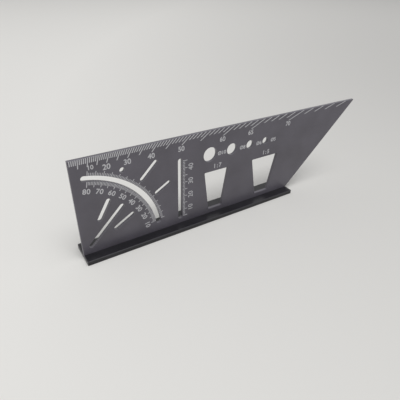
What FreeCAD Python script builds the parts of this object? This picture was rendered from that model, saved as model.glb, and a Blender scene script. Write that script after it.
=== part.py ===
"""Marking and protractor square: an upright perforated blade pinned into a flat fence.

Millimetres, +Z up.  The square stands on the fence's underside, with its marked
side facing -Y.  The origin is midway along the whole square and across the fence,
on that underside.  Cut-outs are laid out in the blade's own coordinates: u runs
along the blade from its square end, v runs up from the fence's top face.  Their
zero point is also the centre of the protractor.
"""
import FreeCAD, Part
import math
import os
from FreeCAD import Vector

# Fence: the flat bar that the blade stands on
fence_length = 160.5
fence_width = 19.5
fence_thickness = 3.0
fence_edge_break = 0.3
front_lip = 6.7                 # fence in front of the blade
groove_depth = 2.3
groove_clearance = 0.05         # each side of the blade's foot

# Blade: sheet with one square end and one mitred end
blade_thickness = 2.0
blade_rise = 60.8               # above the fence's top face
mitre_angle = 45.0              # of the leaning end, from the fence
tip_flat = 0.8                  # blunts the sharp corner
blade_edge_break = 0.2

# Protractor slot, an arc about the blade's zero point
arc_radius = 49.7               # of the slot's middle line
arc_slot_width = 3.4
arc_first_angle = 8.5           # of the centres of the rounded ends
arc_last_angle = 82.0

# Pencil slots on the protractor's radii, inside and outside the arc
pencil_slot_width = 3.0
numeral_band = 9.5              # left between the inner slots and the arc slot
side_slot_length = 15.2         # inner, at 30 and 60 degrees
middle_slot_length = 32.5       # inner, at 45 degrees
tick_band = 3.5                 # left between the arc slot and the outer slots
low_outer_slot_length = 12.3    # at 30 degrees
middle_outer_slot_length = 15.5 # at 45 degrees
high_outer_slot_length = 3.3    # at 60 degrees

# Depth gauge slot
depth_slot_width = 3.0
depth_slot_u = 65.0
depth_slot_foot = 3.3
depth_slot_head = 47.0

# Round dowel gauge holes in one row, with equal gaps from rim to rim
gauge_diameters = [10.0, 8.0, 6.0, 5.0]
gauge_row_v = 44.5
first_gauge_u = 87.0            # of the largest hole's centre
gauge_gap = 8.1

# Dovetail windows: each side leans by 1 in slope
window_foot = 3.3
window_head = 32.2
window_corner = 0.6
narrow_window_u = 92.7          # of its middle line
narrow_window_width = 19.2      # at its head
narrow_window_slope = 7.0
wide_window_u = 134.4
wide_window_width = 23.6
wide_window_slope = 5.0

# Pins driven across the fence through the blade's foot
pin_count = 6
pin_diameter = 1.5
pin_length = 16.0
pin_end_chamfer = 0.2
pin_depth = 1.35                # below the fence's top face
pin_end_distance = 12.0         # from each end of the fence
pin_hole_clearance = 0.05       # on the radius

# Where the pieces stand in the square's frame
mitre_run = (blade_rise - tip_flat) / math.tan(math.radians(mitre_angle))
overall_length = fence_length + mitre_run
left_x = -overall_length / 2
blade_front_y = front_lip - fence_width / 2
fence_rear_y = fence_width / 2
cutter_depth = 3 * blade_thickness
cutter_y = blade_front_y - blade_thickness


def blade_point(u, v, y=blade_front_y):
    return Vector(left_x + u, y, fence_thickness + v)


def plate(wire, y=blade_front_y, depth=blade_thickness):
    """Extrude a closed wire drawn on the plane y towards +Y."""
    face = Part.Face(wire)
    face.translate(Vector(0, y - blade_front_y, 0))
    return face.extrude(Vector(0, depth, 0))


def through(wire):
    """A cutter that runs well past both faces of the blade."""
    return plate(wire, cutter_y, cutter_depth)


def polygon(points):
    corners = [blade_point(u, v) for u, v in points]
    return Part.makePolygon(corners + corners[:1])


def closed(edges):
    return Part.Wire(Part.__sortEdges__(edges))


def polar(radius, angle):
    turn = math.radians(angle)
    return blade_point(radius * math.cos(turn), radius * math.sin(turn))


def arc_about(centre, radius, angle, half_span):
    """Arc in the blade's plane, centred on the direction angle."""
    spots = []
    for turn in (angle - half_span, angle, angle + half_span):
        turn = math.radians(turn)
        spots.append(centre + Vector(radius * math.cos(turn), 0, radius * math.sin(turn)))
    return Part.Arc(*spots).toShape()


def straight_slot(start, end, width):
    """Round-ended slot between two end centres."""
    along = end - start
    angle = math.degrees(math.atan2(along.z, along.x))
    side = Vector(-along.z, 0, along.x).normalize() * (width / 2)
    return closed([
        Part.LineSegment(start + side, end + side).toShape(),
        arc_about(end, width / 2, angle, 90),
        Part.LineSegment(end - side, start - side).toShape(),
        arc_about(start, width / 2, angle + 180, 90),
    ])


def radial_slot(angle, first_radius, length):
    half = pencil_slot_width / 2
    return straight_slot(polar(first_radius + half, angle),
                         polar(first_radius + length - half, angle), pencil_slot_width)


def pencil_slots():
    inner_end = arc_radius - arc_slot_width / 2 - numeral_band
    outer_start = arc_radius + arc_slot_width / 2 + tick_band
    inner = [(30, side_slot_length), (45, middle_slot_length), (60, side_slot_length)]
    outer = [(30, low_outer_slot_length), (45, middle_outer_slot_length),
             (60, high_outer_slot_length)]
    slots = [radial_slot(angle, inner_end - length, length) for angle, length in inner]
    slots += [radial_slot(angle, outer_start, length) for angle, length in outer]
    return slots


def depth_slot():
    half = depth_slot_width / 2
    return straight_slot(blade_point(depth_slot_u, depth_slot_foot + half),
                         blade_point(depth_slot_u, depth_slot_head - half), depth_slot_width)


def protractor_slot():
    """Round-ended slot along an arc about the blade's zero point."""
    half = arc_slot_width / 2
    middle = (arc_first_angle + arc_last_angle) / 2
    half_span = (arc_last_angle - arc_first_angle) / 2
    zero = blade_point(0, 0)
    return closed([
        arc_about(zero, arc_radius + half, middle, half_span),
        arc_about(polar(arc_radius, arc_last_angle), half, arc_last_angle + 90, 90),
        arc_about(zero, arc_radius - half, middle, half_span),
        arc_about(polar(arc_radius, arc_first_angle), half, arc_first_angle - 90, 90),
    ])


def dovetail_window(middle_u, head_width, slope):
    """Cutter that narrows towards the fence by 1 in slope on each side."""
    narrowing = (window_head - window_foot) / slope
    head, foot = head_width / 2, head_width / 2 - narrowing
    cutter = through(polygon([
        (middle_u - foot, window_foot), (middle_u + foot, window_foot),
        (middle_u + head, window_head), (middle_u - head, window_head)]))
    corners = [edge for edge in cutter.Edges
               if abs(edge.Vertexes[0].Point.y - edge.Vertexes[1].Point.y) > blade_thickness]
    return cutter.makeFillet(window_corner, corners)


def gauge_holes():
    holes = []
    u = first_gauge_u
    for diameter in gauge_diameters:
        if holes:
            u += gauge_gap + diameter / 2
        holes.append(Part.makeCylinder(diameter / 2, cutter_depth,
                                       blade_point(u, gauge_row_v, cutter_y), Vector(0, 1, 0)))
        u += diameter / 2
    return holes


def pin_axis(index):
    """The pin's rear end, flush with the fence's rear face."""
    pitch = (fence_length - 2 * pin_end_distance) / (pin_count - 1)
    u = pin_end_distance + index * pitch
    return blade_point(u, -pin_depth, fence_rear_y)


def pin_bore(index):
    return Part.makeCylinder(pin_diameter / 2 + pin_hole_clearance,
                             pin_length + pin_hole_clearance,
                             pin_axis(index), Vector(0, -1, 0))


def make_blade():
    square_edge = fence_length + mitre_run
    outline = polygon([
        (0, -groove_depth), (fence_length, -groove_depth), (fence_length, 0),
        (square_edge, blade_rise - tip_flat), (square_edge, blade_rise), (0, blade_rise)])
    blank = plate(outline)
    rims = [edge for edge in blank.Edges
            if abs(edge.Vertexes[0].Point.y - edge.Vertexes[1].Point.y) < blade_edge_break]
    blank = blank.makeChamfer(blade_edge_break, rims)
    wires = [protractor_slot(), depth_slot()] + pencil_slots()
    cutters = [through(wire) for wire in wires] + gauge_holes()
    cutters.append(dovetail_window(narrow_window_u, narrow_window_width, narrow_window_slope))
    cutters.append(dovetail_window(wide_window_u, wide_window_width, wide_window_slope))
    cutters += [pin_bore(index) for index in range(pin_count)]
    return blank.cut(cutters)


def make_fence():
    bar = Part.makeBox(fence_length, fence_width, fence_thickness,
                       Vector(left_x, -fence_width / 2, 0))
    bar = bar.makeChamfer(fence_edge_break, bar.Edges)
    groove_width = blade_thickness + 2 * groove_clearance
    groove = Part.makeBox(
        fence_length, groove_width, groove_depth,
        blade_point(0, -groove_depth, blade_front_y - groove_clearance))
    return bar.cut([groove] + [pin_bore(index) for index in range(pin_count)])


def make_pin(index):
    pin = Part.makeCylinder(pin_diameter / 2, pin_length, pin_axis(index), Vector(0, -1, 0))
    rims = [edge for edge in pin.Edges if len(edge.Vertexes) == 1]
    return pin.makeChamfer(pin_end_chamfer, rims)


pieces = {"blade": make_blade(), "fence": make_fence()}
for number in range(pin_count):
    pieces["dowel_pin_%d" % (number + 1)] = make_pin(number)

os.makedirs("parts", exist_ok=True)
for name, shape in pieces.items():
    solids = shape.Solids
    if len(solids) != 1 or not solids[0].isValid():
        raise RuntimeError(name + " is not one valid solid")
    solids[0].exportStep("parts/%s.step" % name)
    box = solids[0].BoundBox
    print("%-12s volume %9.2f  x %8.2f..%7.2f  y %6.2f..%6.2f  z %5.2f..%5.2f" % (
        name, solids[0].Volume, box.XMin, box.XMax, box.YMin, box.YMax, box.ZMin, box.ZMax))
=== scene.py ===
"""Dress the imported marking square: anodised finishes, etched scales and a plain studio stage.

The file is laid out as an add-on, with one operator for each group of pieces, and runs as a
script.  Lengths are in metres.  Places on the blade are given as u, along it from its square
end, and v, up from the fence's top face.  The zero of both is the protractor's centre.
"""
import math

import bmesh
import bpy
from bpy.props import FloatProperty, FloatVectorProperty, PointerProperty
from mathutils import Matrix, Vector


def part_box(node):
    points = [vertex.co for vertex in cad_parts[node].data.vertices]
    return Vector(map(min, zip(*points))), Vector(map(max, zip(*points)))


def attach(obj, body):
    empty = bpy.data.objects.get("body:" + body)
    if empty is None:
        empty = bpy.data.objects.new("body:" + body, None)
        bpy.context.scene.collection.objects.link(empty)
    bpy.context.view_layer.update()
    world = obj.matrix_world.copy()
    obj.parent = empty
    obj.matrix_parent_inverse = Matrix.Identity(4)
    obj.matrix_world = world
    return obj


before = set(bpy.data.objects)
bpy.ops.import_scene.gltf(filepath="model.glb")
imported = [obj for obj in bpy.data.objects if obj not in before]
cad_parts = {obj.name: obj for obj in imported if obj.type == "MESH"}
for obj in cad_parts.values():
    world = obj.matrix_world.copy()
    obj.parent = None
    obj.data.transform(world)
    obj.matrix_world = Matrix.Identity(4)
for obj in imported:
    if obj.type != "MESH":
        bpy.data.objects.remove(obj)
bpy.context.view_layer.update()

bl_info = {
    "name": "Marking Square",
    "version": (1, 0, 0),
    "blender": (4, 5, 0),
    "location": "View3D > Sidebar > Marking Square",
    "description": "Finishes and etched scales for a protractor marking square",
    "category": "Object",
}

MM = 0.001
BLADE_LOW, BLADE_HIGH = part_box("blade")
FENCE_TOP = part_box("fence")[1].z

# The blade's edges and cut-outs that the scales follow, as the solid has them
EDGE_BREAK = 0.2 * MM
ARC_INNER, ARC_OUTER = 48.0 * MM, 51.4 * MM
DEPTH_SLOT_EDGE = 66.5 * MM
GAUGE_ROW = 44.5 * MM
GAUGE_DIAMETERS = (10, 8, 6, 5)         # in millimetres, as their signs say
GAUGE_START = 82.0 * MM                 # the largest hole's left rim
GAUGE_GAP = 8.1 * MM                    # from rim to rim
WINDOW_HEAD = 32.2 * MM
WINDOWS = (("1:7", 92.7 * MM), ("1:5", 134.4 * MM))

# Where lines and numerals stand
RING_LINE_GAP = 0.15 * MM               # from the arc slot
RING_NUMERAL_RADIUS = 42.1 * MM
EDGE_NUMERAL_ROW = 53.3 * MM
EDGE_NUMERAL_SHIFT = 0.4 * MM           # to the left of the line's lower end
FIRST_EDGE_NUMERAL = (11.2 * MM, 55.0 * MM)
DEPTH_LINE_GAP = 0.4 * MM               # from the depth slot
DEPTH_NUMERAL_COLUMN = 72.6 * MM
HOLE_SIGN_DROP = 0.55 * MM              # below the holes' row
SHORT_SIGN_SHIFT = 0.8 * MM
SLOPE_SHIFT, SLOPE_RISE = 0.25 * MM, 3.35 * MM      # from the middle of the window's head

# Shares of a setting
OUTER_LINE_SHARE = 0.78                 # a ring line outside the arc, of one inside
FIRST_NUMERAL_SHARE = 0.8               # the top edge's 10, of its other numerals
SLOPE_NUMERAL_SHARE = 1.15              # the windows' slopes, of the holes' sizes

# How much a numeral's strokes grow on each side, as a share of the type's size
STROKE_WEIGHT, SLIM_WEIGHT = 0.021, 0.004

# The stage
FLOOR_REACH = 6.0                       # from the origin to each side
# Painted shade on the floor: its paint darkens towards a place on the right, in place of light
# falling off there
PAINTED_SHADE_DEPTH = 0.75                      # under the origin
PAINTED_SHADE_AIM = (0.767, -0.165, 0.62)       # up from there to the floor's darkest place
PAINTED_SHADE_START = 0.46                      # the nearness to that place at which it sets in
LAMP_SIZE = (3.6, 2.6)
LAMP_PLACE = (-0.2, -1.3, 4.6)
CAMERA_PLACE = (-0.14401, -0.17478, 0.14639)
CAMERA_LOOK = (0.467, 0.704, -0.535)
CAMERA_UP = (0.271, 0.461, 0.845)
CAMERA_REACH = (0.01, 20.0)             # the nearest and the farthest that it sees


def hex_color(code):
    """Linear RGBA from an sRGB hex value."""
    channels = [int(code[i:i + 2], 16) / 255 for i in (0, 2, 4)]
    return [c / 12.92 if c <= 0.04045 else ((c + 0.055) / 1.055) ** 2.4
            for c in channels] + [1.0]


def color_setting(name, description, code):
    return FloatVectorProperty(name=name, description=description, default=hex_color(code),
                               subtype="COLOR", size=4, min=0.0, max=1.0)


def length_setting(name, description, millimetres):
    return FloatProperty(name=name, description=description, default=millimetres * MM,
                         min=0.0, unit="LENGTH", precision=5)


class MarkSettings(bpy.types.PropertyGroup):
    """Sizes of the etched lines and numerals"""
    relief: length_setting("Relief", "How far an etched mark stands proud of the face", 0.02)
    fine_line: length_setting("Fine line", "Width of the single-step lines", 0.34)
    bold_line: length_setting("Bold line", "Width of the five-step lines", 0.4)
    edge_line: length_setting("Edge line", "Width of the top edge's lines", 0.52)
    ring_step: length_setting("Ring step", "Length of a one degree line inside the arc", 2.0)
    ring_five: length_setting("Ring five", "Length of a five degree line inside the arc", 3.3)
    edge_step: length_setting("Edge step", "Drop of a one degree line from the top edge", 2.8)
    edge_five: length_setting("Edge five", "Drop of a five degree line from the top edge", 5.0)
    depth_step: length_setting("Depth step", "Length of a one millimetre depth line", 1.6)
    depth_five: length_setting("Depth five", "Length of a five millimetre depth line", 3.3)
    ring_numeral: length_setting("Ring numeral", "Height of the protractor's numerals", 3.2)
    edge_numeral: length_setting("Edge numeral", "Height of the top edge's numerals", 3.3)
    depth_numeral: length_setting("Depth numeral", "Height of the depth numerals", 3.4)
    size_numeral: length_setting("Size numeral", "Height of the holes' sizes", 2.7)


class FinishSettings(bpy.types.PropertyGroup):
    """Colours of the finishes"""
    sheet_dye: color_setting("Sheet dye", "Dyed anodising on the blade", "504d55")
    sheet_pale: color_setting("Sheet pale", "The blade's paler clouds and rubbed edges", "625f69")
    bar_dye: color_setting("Bar dye", "Dyed anodising on the fence", "17161a")
    bar_pale: color_setting("Bar pale", "The fence's rubbed edges and draw lines", "2e2d33")
    etch: color_setting("Etch", "Bare aluminium oxide left by the laser", "c6c6c9")
    etch_grey: color_setting("Etch grey", "Darker grain in the etched marks", "9a9a9f")
    steel: color_setting("Steel", "Ground dowel pins", "b4b3b1")


class StudioSettings(bpy.types.PropertyGroup):
    """Floor, lamp, room light and lens"""
    # Painted shade: the floor's paint goes from the paler colour on the left to the darker one on
    # the right, in place of light falling off
    floor_pale: color_setting("Floor painted light", "Floor at its palest, on the left", "e1e0dd")
    floor_dark: color_setting("Floor painted shade", "Floor at its darkest, on the right", "bab9b7")
    focal_length: FloatProperty(name="Focal length", description="Of the camera's lens",
                                default=32.84, min=1.0, unit="CAMERA")
    lamp_power: FloatProperty(name="Lamp power", description="Of the overhead soft box",
                              default=158.0, min=0.0, unit="POWER")
    ambient: FloatProperty(name="Ambient", description="Strength of the room's even light",
                           default=0.42, min=0.0, max=2.0)
    backdrop: FloatProperty(name="Backdrop", description="Paleness of the room behind",
                            default=0.7, min=0.0, max=1.0)


# ---------------------------------------------------------------- materials

def add_node(tree, kind, inputs=(), **settings):
    """Add a node, with its settings, and its sockets filled by values or other sockets."""
    node = tree.nodes.new(kind)
    for name, value in settings.items():
        setattr(node, name, value)
    for name, value in dict(inputs).items():
        if isinstance(value, bpy.types.NodeSocket):
            tree.links.new(value, node.inputs[name])
        else:
            node.inputs[name].default_value = value
    return node


def new_material(name):
    """A new material, with its tree, its shader and the place on the piece."""
    material = bpy.data.materials.new(name)
    material.use_nodes = True
    tree = material.node_tree
    shader = tree.nodes["Principled BSDF"]
    place = add_node(tree, "ShaderNodeTexCoord").outputs["Object"]
    return material, tree, shader, place


def per_length(millimetres):
    """A noise texture's scale for features of this size."""
    return 1 / (millimetres * MM)


def anodised_blasted_sheet(finish):
    """Black anodised aluminium sheet, glass-bead blasted before it was dyed.

    The oxide is a hard, clear, dyed skin: a soft satin sheen with no metallic tint, very fine
    pits, faint clouds in the dye, glossier smudges from handling and slightly paler broken
    edges.  The walls of the cuts were milled, so they are smoother than the blasted faces.
    """
    material, tree, shader, place = new_material("anodised_aluminium_blasted_black")
    clouds = add_node(tree, "ShaderNodeTexNoise", {
        "Vector": place, "Scale": per_length(22), "Detail": 3.0, "Roughness": 0.55})
    smudges = add_node(tree, "ShaderNodeTexNoise", {
        "Vector": place, "Scale": per_length(35), "Detail": 2.0, "Distortion": 0.6})
    # Real bead pits are about 0.05 mm; they are drawn at 0.45 mm so that they show
    pits = add_node(tree, "ShaderNodeTexNoise", {
        "Vector": place, "Scale": per_length(0.45), "Detail": 2.0, "Roughness": 0.6})
    # Rubbing along the blade leaves streaks about 15 mm long and 0.5 mm wide
    drawn = add_node(tree, "ShaderNodeMapping", {
        "Vector": place, "Scale": (per_length(15), per_length(15), per_length(0.5))})
    rubs = add_node(tree, "ShaderNodeTexNoise", {
        "Vector": drawn.outputs["Vector"], "Scale": 1.0, "Detail": 2.0, "Roughness": 0.5})
    facing = add_node(tree, "ShaderNodeSeparateXYZ", {
        "Vector": add_node(tree, "ShaderNodeNewGeometry").outputs["Normal"]})
    flatness = add_node(tree, "ShaderNodeMath", {0: facing.outputs["Y"]}, operation="ABSOLUTE")
    # The flatness is 1 on the faces and 0 on the walls; only the broken edges lie between
    off_faces = add_node(tree, "ShaderNodeMapRange", {
        "Value": flatness.outputs["Value"], "From Min": 0.95, "From Max": 0.8})
    off_walls = add_node(tree, "ShaderNodeMapRange", {
        "Value": flatness.outputs["Value"], "From Min": 0.2, "From Max": 0.5})
    broken = add_node(tree, "ShaderNodeMath", {
        0: off_faces.outputs["Result"], 1: off_walls.outputs["Result"]}, operation="MULTIPLY")
    cloud_share = add_node(tree, "ShaderNodeMapRange", {
        "Value": clouds.outputs["Fac"], "From Min": 0.35, "From Max": 0.7, "To Max": 0.6})
    pale_share = add_node(tree, "ShaderNodeMath", {
        0: broken.outputs["Value"], 1: cloud_share.outputs["Result"]}, operation="MAXIMUM")
    tint = add_node(tree, "ShaderNodeMix", {
        "Factor": pale_share.outputs["Value"], "A": finish.sheet_dye, "B": finish.sheet_pale},
        data_type="RGBA")
    tree.links.new(tint.outputs["Result"], shader.inputs["Base Color"])
    satin = add_node(tree, "ShaderNodeMapRange", {
        "Value": rubs.outputs["Fac"], "From Min": 0.3, "From Max": 0.7,
        "To Min": 0.4, "To Max": 0.5})
    smudge_gloss = add_node(tree, "ShaderNodeMapRange", {
        "Value": smudges.outputs["Fac"], "From Min": 0.45, "From Max": 0.65, "To Max": 0.1})
    face_gloss = add_node(tree, "ShaderNodeMath", {
        0: satin.outputs["Result"], 1: smudge_gloss.outputs["Result"]}, operation="SUBTRACT")
    # Takes 0.12 off the walls' roughness and nothing off the faces'
    wall_gloss = add_node(tree, "ShaderNodeMath", {
        0: off_walls.outputs["Result"], 1: 0.12, 2: -0.12}, operation="MULTIPLY_ADD")
    gloss = add_node(tree, "ShaderNodeMath", {
        0: face_gloss.outputs["Value"], 1: wall_gloss.outputs["Value"]})
    tree.links.new(gloss.outputs["Value"], shader.inputs["Roughness"])
    bump = add_node(tree, "ShaderNodeBump", {
        "Height": pits.outputs["Fac"], "Strength": 0.25, "Distance": 0.02 * MM})
    tree.links.new(bump.outputs["Normal"], shader.inputs["Normal"])
    shader.inputs["Metallic"].default_value = 0.0
    shader.inputs["IOR"].default_value = 1.6
    return material


def anodised_extruded_bar(finish):
    """Black anodised aluminium bar, extruded and left unblasted.

    The die leaves fine draw lines along the bar, so the sheen is a little sharper than the
    blade's and stretched across them.
    """
    material, tree, shader, place = new_material("anodised_aluminium_extruded_black")
    # Real die lines are about 0.1 mm apart; they are drawn at 0.4 mm so that they show
    drawn = add_node(tree, "ShaderNodeMapping", {
        "Vector": place, "Scale": (per_length(60), per_length(0.4), per_length(0.4))})
    lines = add_node(tree, "ShaderNodeTexNoise", {
        "Vector": drawn.outputs["Vector"], "Scale": 1.0, "Detail": 3.0, "Roughness": 0.6})
    clouds = add_node(tree, "ShaderNodeTexNoise", {
        "Vector": place, "Scale": per_length(14), "Detail": 3.0})
    facing = add_node(tree, "ShaderNodeSeparateXYZ", {
        "Vector": add_node(tree, "ShaderNodeNewGeometry").outputs["Normal"]})
    flatness = 0.0
    for axis in "XYZ":
        along = add_node(tree, "ShaderNodeMath", {0: facing.outputs[axis]},
                         operation="ABSOLUTE")
        flatness = add_node(tree, "ShaderNodeMath", {
            0: along.outputs["Value"], 1: flatness}, operation="MAXIMUM").outputs["Value"]
    # A flat face looks straight along one axis; only a broken edge does not
    broken = add_node(tree, "ShaderNodeMapRange", {
        "Value": flatness, "From Min": 0.95, "From Max": 0.8})
    line_share = add_node(tree, "ShaderNodeMapRange", {
        "Value": lines.outputs["Fac"], "From Min": 0.5, "From Max": 0.9, "To Max": 0.5})
    cloud_share = add_node(tree, "ShaderNodeMapRange", {
        "Value": clouds.outputs["Fac"], "From Min": 0.45, "From Max": 0.8, "To Max": 0.4})
    rubbed = add_node(tree, "ShaderNodeMath", {
        0: line_share.outputs["Result"], 1: cloud_share.outputs["Result"]}, operation="MAXIMUM")
    pale_share = add_node(tree, "ShaderNodeMath", {
        0: broken.outputs["Result"], 1: rubbed.outputs["Value"]}, operation="MAXIMUM")
    tint = add_node(tree, "ShaderNodeMix", {
        "Factor": pale_share.outputs["Value"], "A": finish.bar_dye, "B": finish.bar_pale},
        data_type="RGBA")
    tree.links.new(tint.outputs["Result"], shader.inputs["Base Color"])
    satin = add_node(tree, "ShaderNodeMapRange", {
        "Value": lines.outputs["Fac"], "From Min": 0.3, "From Max": 0.7,
        "To Min": 0.32, "To Max": 0.44})
    tree.links.new(satin.outputs["Result"], shader.inputs["Roughness"])
    bump = add_node(tree, "ShaderNodeBump", {
        "Height": lines.outputs["Fac"], "Strength": 0.3, "Distance": 0.02 * MM})
    tree.links.new(bump.outputs["Normal"], shader.inputs["Normal"])
    shader.inputs["Metallic"].default_value = 0.0
    shader.inputs["IOR"].default_value = 1.6
    shader.inputs["Specular IOR Level"].default_value = 0.35
    return material


def laser_etched_mark(finish):
    """Bare oxide where a laser burned the dye away: chalky, pale grey, with a fine grain.

    All the scales share it.
    """
    name = "aluminium_oxide_laser_etched"
    if name in bpy.data.materials:
        return bpy.data.materials[name]
    material, tree, shader, place = new_material(name)
    # The laser's dots are about 0.05 mm; they are drawn at 0.25 mm so that they show
    dots = add_node(tree, "ShaderNodeTexNoise", {
        "Vector": place, "Scale": per_length(0.25), "Detail": 2.0, "Roughness": 0.7})
    grey_share = add_node(tree, "ShaderNodeMapRange", {
        "Value": dots.outputs["Fac"], "From Min": 0.45, "From Max": 0.8})
    tint = add_node(tree, "ShaderNodeMix", {
        "Factor": grey_share.outputs["Result"], "A": finish.etch, "B": finish.etch_grey},
        data_type="RGBA")
    tree.links.new(tint.outputs["Result"], shader.inputs["Base Color"])
    shader.inputs["Metallic"].default_value = 0.0
    shader.inputs["Roughness"].default_value = 0.7
    return material


def ground_steel_pin(finish):
    """Centreless-ground steel dowel pin: bright metal with fine rings round its axis."""
    material, tree, shader, place = new_material("tool_steel_ground")
    # Real grinding rings are under 0.05 mm apart; they are drawn at 0.15 mm so that they show
    across = add_node(tree, "ShaderNodeMapping", {
        "Vector": place, "Scale": (per_length(2), per_length(0.15), per_length(2))})
    rings = add_node(tree, "ShaderNodeTexNoise", {
        "Vector": across.outputs["Vector"], "Scale": 1.0, "Detail": 2.0})
    polish = add_node(tree, "ShaderNodeMapRange", {
        "Value": rings.outputs["Fac"], "To Min": 0.2, "To Max": 0.38})
    tree.links.new(polish.outputs["Result"], shader.inputs["Roughness"])
    bump = add_node(tree, "ShaderNodeBump", {
        "Height": rings.outputs["Fac"], "Strength": 0.2, "Distance": 0.01 * MM})
    tree.links.new(bump.outputs["Normal"], shader.inputs["Normal"])
    shader.inputs["Base Color"].default_value = finish.steel
    shader.inputs["Metallic"].default_value = 1.0
    return material


def painted_board(studio):
    """Matt board whose paint holds painted shade, darkest at a place 0.9 m to the right of the
    square.

    The darker paint stands in for light that falls off towards the right. A point of the floor
    is darker the nearer its direction, from under the origin, lies to the direction of that
    place.
    """
    material, tree, shader, place = new_material("board_painted_matt")
    raised = add_node(tree, "ShaderNodeVectorMath", {0: place, 1: (0.0, 0.0, PAINTED_SHADE_DEPTH)},
                      operation="ADD")
    direction = add_node(tree, "ShaderNodeVectorMath", {0: raised.outputs["Vector"]},
                         operation="NORMALIZE")
    nearness = add_node(tree, "ShaderNodeVectorMath", {
        0: direction.outputs["Vector"], 1: PAINTED_SHADE_AIM}, operation="DOT_PRODUCT")
    # The darker paint's share is painted shade, standing in for light falling off towards the
    # right
    painted_shade_share = add_node(tree, "ShaderNodeMapRange", {
        "Value": nearness.outputs["Value"], "From Min": PAINTED_SHADE_START, "From Max": 1.0})
    paint = add_node(tree, "ShaderNodeMix", {
        "Factor": painted_shade_share.outputs["Result"], "A": studio.floor_pale,
        "B": studio.floor_dark}, data_type="RGBA")
    tree.links.new(paint.outputs["Result"], shader.inputs["Base Color"])
    shader.inputs["Roughness"].default_value = 0.9
    shader.inputs["Specular IOR Level"].default_value = 0.1
    return material


def dress(node, material):
    """Give one of the solid nodes its finish."""
    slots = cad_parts[node].material_slots
    if not slots:
        raise RuntimeError(node + " has no material slot")
    for slot in slots:
        slot.material = material


# ---------------------------------------------------------------- etched marks

def on_blade(u, v, lift=0.0):
    """A point on the blade's marked face, or lifted off it towards the viewer."""
    return Vector((BLADE_LOW.x + u, BLADE_LOW.y - lift, FENCE_TOP + v))


def ray(angle):
    """Unit direction in u, v at this many degrees above the fence."""
    turn = math.radians(angle)
    return Vector((math.cos(turn), math.sin(turn)))


def add_line(mesh, start, end, width, relief, level_ends=False):
    """Etch a straight line: a thin closed bar sunk as deep into the face as it stands proud.

    Its ends are square to it, or level with the fence where it runs out to the top edge.
    """
    along = (end - start).normalized()
    side = Vector((width / along.y, 0)) if level_ends else along.orthogonal() * width
    side /= 2
    corners = [start + side, end + side, end - side, start - side]
    back, front = [[mesh.verts.new(on_blade(c.x, c.y, lift)) for c in corners]
                   for lift in (-relief, relief)]
    mesh.faces.new(back)
    mesh.faces.new(reversed(front))
    for i in range(4):
        j = (i + 1) % 4
        mesh.faces.new((back[j], back[i], front[i], front[j]))


def thicken(shape, weight):
    """Move the sides of extruded type outwards by the weight, with mitred corners.

    The type's own offset fills the eye of the 4, where its outline has a tiny step.
    """
    smallest_step, sharpest_mitre = 0.003, 0.5
    type_mesh = bmesh.new()
    type_mesh.from_mesh(shape)
    bmesh.ops.remove_doubles(type_mesh, verts=type_mesh.verts, dist=smallest_step)
    bmesh.ops.recalc_face_normals(type_mesh, faces=type_mesh.faces)
    moves = []
    for vertex in type_mesh.verts:
        # Two faces that meet here are sides; the caps look up or down, and slivers nowhere
        one, other = (face.normal.copy() for face in vertex.link_faces
                      if face.normal.xy.length > 0.5)
        moves.append((one + other) * (weight / max(1.0 + one.dot(other), sharpest_mitre)))
    for vertex, move in zip(type_mesh.verts, moves):
        vertex.co += move
    bmesh.ops.beautify_fill(type_mesh, faces=type_mesh.faces, edges=type_mesh.edges)
    type_mesh.to_mesh(shape)
    type_mesh.free()


def add_text(mesh, words, u, v, height, relief, turn=0.0, weight=STROKE_WEIGHT, spacing=1.0):
    """Etch numerals centred on a place and turned by so many degrees."""
    curve = bpy.data.curves.new("numerals", "FONT")
    curve.body = words
    curve.align_x = "CENTER"
    # One unit thick, which is scaled below to reach the relief on both sides of the face
    curve.extrude = 0.5
    curve.space_character = spacing
    curve.resolution_u = 6
    holder = bpy.data.objects.new("numerals", curve)
    bpy.context.scene.collection.objects.link(holder)
    bpy.context.view_layer.update()
    shape = bpy.data.meshes.new_from_object(holder.evaluated_get(
        bpy.context.evaluated_depsgraph_get()))
    bpy.data.objects.remove(holder)
    bpy.data.curves.remove(curve)
    thicken(shape, weight)
    low = min(vertex.co.y for vertex in shape.vertices)
    high = max(vertex.co.y for vertex in shape.vertices)
    scale = height / (high - low)
    # Text lies flat facing +Z; stood up, its face looks along -Y
    stand = (Matrix.Translation(on_blade(u, v))
             @ Matrix.Rotation(math.radians(90), 4, "X")
             @ Matrix.Rotation(math.radians(turn), 4, "Z")
             @ Matrix.Diagonal((scale, scale, 2 * relief, 1.0))
             @ Matrix.Translation((0.0, -(low + high) / 2, 0.0)))
    shape.transform(stand)
    mesh.from_mesh(shape)
    bpy.data.meshes.remove(shape)


def line_size(marks, step, short, long):
    """Length and width of a scale's line: every fifth one is longer and bolder."""
    return (long, marks.bold_line) if step % 5 == 0 else (short, marks.fine_line)


def finish_marks(name, mesh, finish):
    """Turn the gathered marks into one piece that rides on the square."""
    bmesh.ops.remove_doubles(mesh, verts=mesh.verts, dist=1e-7)
    bmesh.ops.recalc_face_normals(mesh, faces=mesh.faces)
    data = bpy.data.meshes.new(name)
    mesh.to_mesh(data)
    mesh.free()
    data.materials.append(laser_etched_mark(finish))
    piece = bpy.data.objects.new(name, data)
    bpy.context.scene.collection.objects.link(piece)
    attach(piece, "root")


# ---------------------------------------------------------------- operators

class MARKSQUARE_OT_blade(bpy.types.Operator):
    """Blast and anodise the perforated blade"""
    bl_idname = "marksquare.blade"
    bl_label = "Finish Blade"

    def execute(self, context):
        dress("blade", anodised_blasted_sheet(context.scene.square_finish))
        return {"FINISHED"}


class MARKSQUARE_OT_fence(bpy.types.Operator):
    """Anodise the extruded fence"""
    bl_idname = "marksquare.fence"
    bl_label = "Finish Fence"

    def execute(self, context):
        dress("fence", anodised_extruded_bar(context.scene.square_finish))
        return {"FINISHED"}


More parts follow.
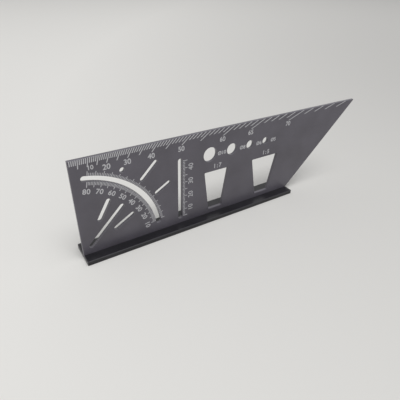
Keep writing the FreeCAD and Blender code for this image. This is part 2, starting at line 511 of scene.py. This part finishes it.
class MARKSQUARE_OT_pins(bpy.types.Operator):
    """Grind the dowel pins that hold the blade in the fence"""
    bl_idname = "marksquare.pins"
    bl_label = "Finish Dowel Pins"

    def execute(self, context):
        steel = ground_steel_pin(context.scene.square_finish)
        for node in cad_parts:
            if node.startswith("dowel_pin"):
                dress(node, steel)
        return {"FINISHED"}


class MARKSQUARE_OT_ring_scale(bpy.types.Operator):
    """Etch the protractor's degree lines beside the arc slot, and its numerals inside it"""
    bl_idname = "marksquare.ring_scale"
    bl_label = "Etch Protractor Scale"

    def execute(self, context):
        marks = context.scene.square_marks
        mesh = bmesh.new()
        inner = ARC_INNER - RING_LINE_GAP
        outer = ARC_OUTER + RING_LINE_GAP
        for degree in range(10, 81):
            length, width = line_size(marks, degree, marks.ring_step, marks.ring_five)
            away = ray(degree)
            add_line(mesh, away * inner, away * (inner - length), width, marks.relief)
            add_line(mesh, away * outer, away * (outer + length * OUTER_LINE_SHARE), width,
                     marks.relief)
        for degree in range(10, 81, 10):
            place = ray(degree) * RING_NUMERAL_RADIUS
            add_text(mesh, str(degree), place.x, place.y, marks.ring_numeral, marks.relief,
                     degree - 90, spacing=1.05)
        finish_marks("protractor_scale", mesh, context.scene.square_finish)
        return {"FINISHED"}


class MARKSQUARE_OT_edge_scale(bpy.types.Operator):
    """Etch the degree lines along the blade's top edge, which all point at the zero corner"""
    bl_idname = "marksquare.edge_scale"
    bl_label = "Etch Top Edge Scale"

    def execute(self, context):
        marks = context.scene.square_marks
        mesh = bmesh.new()
        top = BLADE_HIGH.z - FENCE_TOP - EDGE_BREAK
        for degree in range(1, 75):
            foot = top - (marks.edge_five if degree % 5 == 0 else marks.edge_step)
            lean = math.tan(math.radians(degree))
            add_line(mesh, Vector((top * lean, top)), Vector((foot * lean, foot)),
                     marks.edge_line, marks.relief, level_ends=True)
        # The first numeral stands beside its line, the others under the lower ends of theirs
        add_text(mesh, "10", *FIRST_EDGE_NUMERAL, marks.edge_numeral * FIRST_NUMERAL_SHARE,
                 marks.relief)
        for degree in (20, 30, 40, 50, 60, 65, 70):
            foot_u = (top - marks.edge_five) * math.tan(math.radians(degree))
            add_text(mesh, str(degree), foot_u - EDGE_NUMERAL_SHIFT, EDGE_NUMERAL_ROW,
                     marks.edge_numeral, marks.relief)
        finish_marks("top_edge_scale", mesh, context.scene.square_finish)
        return {"FINISHED"}


class MARKSQUARE_OT_depth_scale(bpy.types.Operator):
    """Etch the millimetre lines and their numerals beside the depth slot"""
    bl_idname = "marksquare.depth_scale"
    bl_label = "Etch Depth Scale"

    def execute(self, context):
        marks = context.scene.square_marks
        mesh = bmesh.new()
        start = DEPTH_SLOT_EDGE + DEPTH_LINE_GAP
        for step in range(5, 46):
            length, width = line_size(marks, step, marks.depth_step, marks.depth_five)
            v = step * MM
            add_line(mesh, Vector((start, v)), Vector((start + length, v)), width, marks.relief)
        for step in range(10, 41, 10):
            add_text(mesh, str(step), DEPTH_NUMERAL_COLUMN, step * MM, marks.depth_numeral,
                     marks.relief, 90, SLIM_WEIGHT)
        finish_marks("depth_scale", mesh, context.scene.square_finish)
        return {"FINISHED"}


class MARKSQUARE_OT_sizes(bpy.types.Operator):
    """Etch the diameters beside the gauge holes and the slopes above the dovetail windows"""
    bl_idname = "marksquare.sizes"
    bl_label = "Etch Sizes"

    def execute(self, context):
        marks = context.scene.square_marks
        mesh = bmesh.new()
        left_rim = GAUGE_START
        for diameter in GAUGE_DIAMETERS:
            right_rim = left_rim + diameter * MM
            beside = right_rim + GAUGE_GAP / 2
            if diameter < 10:
                # The short signs end as near the next hole as the long one does
                beside += SHORT_SIGN_SHIFT
            add_text(mesh, "Ø%d" % diameter, beside, GAUGE_ROW - HOLE_SIGN_DROP,
                     marks.size_numeral, marks.relief)
            left_rim = right_rim + GAUGE_GAP
        for slope, u in WINDOWS:
            add_text(mesh, slope, u + SLOPE_SHIFT, WINDOW_HEAD + SLOPE_RISE,
                     marks.size_numeral * SLOPE_NUMERAL_SHARE, marks.relief, spacing=1.3)
        finish_marks("size_marks", mesh, context.scene.square_finish)
        return {"FINISHED"}


class MARKSQUARE_OT_stage(bpy.types.Operator):
    """Set the room light, the pale floor, the overhead lamp and the camera"""
    bl_idname = "marksquare.stage"
    bl_label = "Set Stage"

    def execute(self, context):
        scene = context.scene
        studio = scene.square_studio
        scene.view_settings.view_transform = "Standard"
        self.light_room(scene, studio)
        self.lay_floor(scene, studio)
        self.hang_lamp(scene, studio)
        self.place_camera(scene, studio)
        return {"FINISHED"}

    def light_room(self, scene, studio):
        """Even light, from a room that is paler to look at, straight or in a reflection."""
        world = bpy.data.worlds.new("even_room_light")
        world.use_nodes = True
        tree = world.node_tree
        background = tree.nodes["Background"]
        background.inputs["Color"].default_value = (1.0, 1.0, 1.0, 1.0)
        rays = add_node(tree, "ShaderNodeLightPath")
        seen = rays.outputs["Is Camera Ray"]
        for also in ("Is Glossy Ray", "Is Transmission Ray"):
            seen = add_node(tree, "ShaderNodeMath", {
                0: seen, 1: rays.outputs[also]}, operation="MAXIMUM").outputs["Value"]
        strength = add_node(tree, "ShaderNodeMapRange", {
            "Value": seen, "To Min": studio.ambient, "To Max": studio.backdrop})
        tree.links.new(strength.outputs["Result"], background.inputs["Strength"])
        scene.world = world

    def lay_floor(self, scene, studio):
        mesh = bmesh.new()
        bmesh.ops.create_grid(mesh, x_segments=1, y_segments=1, size=FLOOR_REACH)
        data = bpy.data.meshes.new("floor")
        mesh.to_mesh(data)
        mesh.free()
        data.materials.append(painted_board(studio))
        floor = bpy.data.objects.new("floor", data)
        scene.collection.objects.link(floor)

    def hang_lamp(self, scene, studio):
        lamp = bpy.data.lights.new("overhead_soft_box", "AREA")
        lamp.shape = "RECTANGLE"
        lamp.size, lamp.size_y = LAMP_SIZE
        lamp.energy = studio.lamp_power
        holder = bpy.data.objects.new("overhead_soft_box", lamp)
        holder.location = LAMP_PLACE
        holder.rotation_euler = (-holder.location).to_track_quat("-Z", "Y").to_euler()
        scene.collection.objects.link(holder)

    def place_camera(self, scene, studio):
        camera = bpy.data.cameras.new("camera")
        camera.lens = studio.focal_length
        camera.clip_start, camera.clip_end = CAMERA_REACH
        look = Vector(CAMERA_LOOK).normalized()
        right = look.cross(Vector(CAMERA_UP)).normalized()
        turn = Matrix((right, right.cross(look), -look)).transposed().to_4x4()
        holder = bpy.data.objects.new("camera", camera)
        holder.matrix_world = Matrix.Translation(CAMERA_PLACE) @ turn
        scene.collection.objects.link(holder)
        scene.camera = holder


class MARKSQUARE_PT_sidebar(bpy.types.Panel):
    """Lists the steps that dress the marking square"""
    bl_idname = "MARKSQUARE_PT_sidebar"
    bl_label = "Marking Square"
    bl_space_type = "VIEW_3D"
    bl_region_type = "UI"
    bl_category = "Marking Square"

    def draw(self, context):
        for step in STEPS:
            self.layout.operator(step.bl_idname)


SETTINGS = {"square_marks": MarkSettings, "square_finish": FinishSettings,
            "square_studio": StudioSettings}
STEPS = (MARKSQUARE_OT_blade, MARKSQUARE_OT_fence, MARKSQUARE_OT_pins,
         MARKSQUARE_OT_ring_scale, MARKSQUARE_OT_edge_scale, MARKSQUARE_OT_depth_scale,
         MARKSQUARE_OT_sizes, MARKSQUARE_OT_stage)
CLASSES = tuple(SETTINGS.values()) + STEPS + (MARKSQUARE_PT_sidebar,)


def register():
    for cls in CLASSES:
        bpy.utils.register_class(cls)
    for name, group in SETTINGS.items():
        setattr(bpy.types.Scene, name, PointerProperty(type=group))


def unregister():
    for name in SETTINGS:
        delattr(bpy.types.Scene, name)
    for cls in reversed(CLASSES):
        bpy.utils.unregister_class(cls)


def main():
    register()
    for step in STEPS:
        group, name = step.bl_idname.split(".")
        getattr(getattr(bpy.ops, group), name)()


if __name__ == "__main__":
    main()
